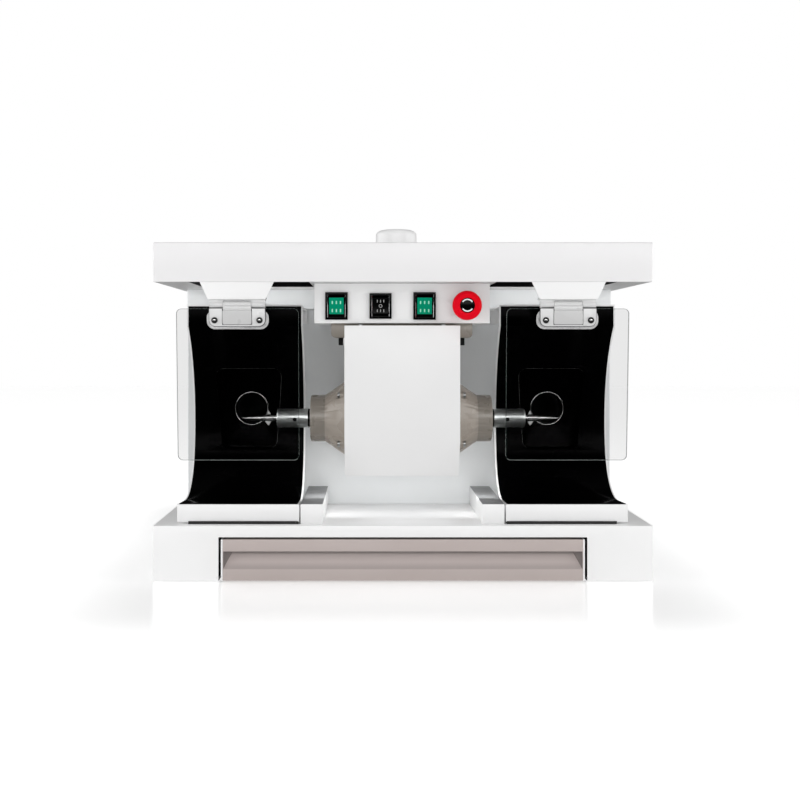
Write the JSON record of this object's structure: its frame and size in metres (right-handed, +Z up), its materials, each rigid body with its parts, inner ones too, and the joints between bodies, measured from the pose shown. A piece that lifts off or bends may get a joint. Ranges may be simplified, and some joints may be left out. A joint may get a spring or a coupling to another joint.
{
  "type": "dental polishing lathe",
  "caption": "Bench polishing lathe with a tapered spindle at each end of its motor, suction hoods, swing-up clear shields, a lamp canopy and a waste drawer.",
  "frame": {"origin": "on the bench, under the middle of the cabinet", "axes": "+X to the user's right along the spindles, +Y from the front to the back, +Z up"},
  "size_m": [0.67, 0.48, 0.513],
  "materials": {
    "white_paint": "glossy white powder coat",
    "taupe_paint": "satin taupe paint on castings",
    "drawer_taupe": "satin taupe moulding",
    "black_gloss": "glossy black sheet",
    "black_plastic": "glossy black",
    "green_lens": "translucent green",
    "red_plastic": "satin red",
    "dark_plastic": "matt dark grey",
    "foot_rubber": "matt black",
    "galvanised": "bright zinc",
    "steel": "satin turned steel",
    "bright_steel": "polished turned steel",
    "dark_steel": "black oxide",
    "chrome": "polished",
    "hinge_alloy": "light grey die casting",
    "clear_sheet": "clear with greenish edges",
    "lamp_glass": "frosted white",
    "lamp_plastic": "pale grey",
    "filter_paper": "pleated paper"
  },
  "bodies": {
    "cabinet": {"base_cabinet": "white_paint", "rear_housing": "white_paint", "rear_panel": "white_paint", "canopy": "white_paint", "exhaust_cap": "white_paint", "control_box": "white_paint", "motor_bracket": "white_paint", "motor_cover": "white_paint", "base_rails": "white_paint", "hood_left": "white_paint", "hood_right": "white_paint", "shield_brackets": "white_paint", "motor_body": "taupe_paint", "end_bell_left": "taupe_paint", "end_bell_right": "taupe_paint", "terminal_box": "taupe_paint", "hood_liner_left": "black_gloss", "hood_liner_right": "black_gloss", "switch_bezels": "black_plastic", "estop_collar": "black_plastic", "power_inlet": "dark_plastic", "blower_motor": "dark_plastic", "suction_ducts": "dark_plastic", "feet": "foot_rubber", "drawer_runners": "galvanised", "filter_box": "galvanised", "blower_casing": "galvanised", "housing_screws": "steel", "hinge_pins": "steel", "motor_bearings": "steel", "bell_screws": "dark_steel", "suction_ports": "chrome", "hinge_bases": "hinge_alloy", "lamp_tubes": "lamp_glass", "lamp_holders": "lamp_plastic", "filter_cartridge": "filter_paper"},
    "motor_rotor": {"rotor_shaft": "steel", "rotor_core": "dark_steel", "chuck_left": "steel", "chuck_right": "steel", "spindle_left": "bright_steel", "spindle_right": "bright_steel", "set_screws": "dark_steel"},
    "shield_left": {"shield_sheet_left": "clear_sheet", "hinge_leaf_left": "hinge_alloy", "clamp_plate_left": "hinge_alloy", "shield_screws_left": "steel"},
    "shield_right": {"shield_sheet_right": "clear_sheet", "hinge_leaf_right": "hinge_alloy", "clamp_plate_right": "hinge_alloy", "shield_screws_right": "steel"},
    "drawer": {"drawer_front": "drawer_taupe", "drawer_box": "white_paint", "drawer_slides": "galvanised"},
    "left_rocker": {"rocker_left": "green_lens"},
    "middle_rocker": {"rocker_middle": "black_plastic"},
    "right_rocker": {"rocker_right": "green_lens"},
    "estop_plunger": {"estop_stem": "black_plastic"},
    "estop_button": {"estop_head": "red_plastic"},
    "blower_rotor": {"blower_wheel": "galvanised"}
  },
  "joints": [
    {"name": "spindle_spin", "type": "hinge", "parent": "cabinet", "child": "motor_rotor", "pos_m": [0, -0.14, 0.214], "axis": [1, 0, 0], "continuous": true},
    {"name": "shield_left_tilt", "type": "hinge", "parent": "cabinet", "child": "shield_left", "pos_m": [-0.223, -0.229, 0.373], "axis": [1, 0, 0], "range_deg": [-80, 0]},
    {"name": "shield_right_tilt", "type": "hinge", "parent": "cabinet", "child": "shield_right", "pos_m": [0.223, -0.229, 0.373], "axis": [1, 0, 0], "range_deg": [-80, 0]},
    {"name": "drawer_slide", "type": "slide", "parent": "cabinet", "child": "drawer", "axis": [0, -1, 0], "range_m": [0, 0.28]},
    {"name": "left_rocker_tip", "type": "hinge", "parent": "cabinet", "child": "left_rocker", "pos_m": [-0.0902, -0.197, 0.372], "axis": [1, 0, 0], "range_deg": [-14, 0]},
    {"name": "middle_rocker_tip", "type": "hinge", "parent": "cabinet", "child": "middle_rocker", "pos_m": [-0.0296, -0.197, 0.372], "axis": [1, 0, 0], "range_deg": [-7, 7]},
    {"name": "right_rocker_tip", "type": "hinge", "parent": "cabinet", "child": "right_rocker", "pos_m": [0.0309, -0.197, 0.372], "axis": [1, 0, 0], "range_deg": [-14, 0]},
    {"name": "estop_push", "type": "slide", "parent": "cabinet", "child": "estop_plunger", "axis": [0, 1, 0], "range_m": [0, 0.004]},
    {"name": "estop_twist", "type": "hinge", "parent": "estop_plunger", "child": "estop_button", "pos_m": [0.0876, -0.22, 0.372], "axis": [0, 1, 0], "range_deg": [0, 45], "stiffness_Nm_per_rad": 0.05},
    {"name": "blower_spin", "type": "hinge", "parent": "cabinet", "child": "blower_rotor", "pos_m": [-0.05, 0.16, 0.28], "axis": [0, 1, 0], "continuous": true}
  ]
}
